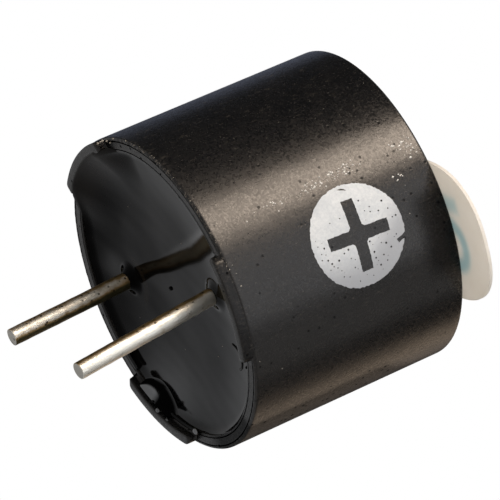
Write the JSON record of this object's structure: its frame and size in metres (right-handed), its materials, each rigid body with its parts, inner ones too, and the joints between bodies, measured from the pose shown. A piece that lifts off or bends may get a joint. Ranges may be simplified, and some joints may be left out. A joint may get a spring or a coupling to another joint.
{
  "type": "magnetic buzzer",
  "caption": "Round through-hole magnetic buzzer: black moulded case on three feet, resin-sealed underside, two leaning tinned leads and a seal label past the edge.",
  "frame": {"origin": "centre of the plane that the three feet stand on, which is the upper face of the circuit board the buzzer is soldered to, on the case's axis", "axes": "+Z along the case's axis towards the sound-hole face; +X from the case's axis towards the positive, longer lead; the leads leave along -Z"},
  "size_m": [0.014, 0.012, 0.0147],
  "materials": {
    "moulded_case": "satin moulded black plastic",
    "label_film": "off-white die-cut film",
    "diaphragm_steel": "rolled",
    "plated_iron": "nickel-plated soft iron",
    "ring_plastic": "moulded",
    "ferrite": "sintered hard ferrite",
    "bobbin_nylon": "natural nylon",
    "enamelled_copper": "enamelled copper wire",
    "insulating_film": "amber film",
    "board_laminate": "green solder mask on laminate",
    "land_copper": "copper foil",
    "transistor_moulding": "moulded",
    "tinned_legs": "tin-plated",
    "resistor_ceramic": "fired ceramic",
    "tinned_lead": "dip-tinned wire with draw marks",
    "solder": "solder fillet",
    "potting_epoxy": "glossy black cast epoxy"
  },
  "bodies": {
    "root": {"case": "moulded_case", "seal_label": "label_film", "diaphragm": "diaphragm_steel", "diaphragm_weight": "plated_iron", "support_ring": "ring_plastic", "magnet_ring": "ferrite", "pole_core": "plated_iron", "yoke_plate": "plated_iron", "coil_bobbin": "bobbin_nylon", "coil_winding": "enamelled_copper", "coil_leads": "enamelled_copper", "insulating_film": "insulating_film", "circuit_board": "board_laminate", "board_lands": "land_copper", "transistor_body": "transistor_moulding", "transistor_legs": "tinned_legs", "resistor_body": "resistor_ceramic", "resistor_ends": "tinned_legs", "positive_lead": "tinned_lead", "negative_lead": "tinned_lead", "solder_joints": "solder", "potting_resin": "potting_epoxy"}
  },
  "joints": []
}
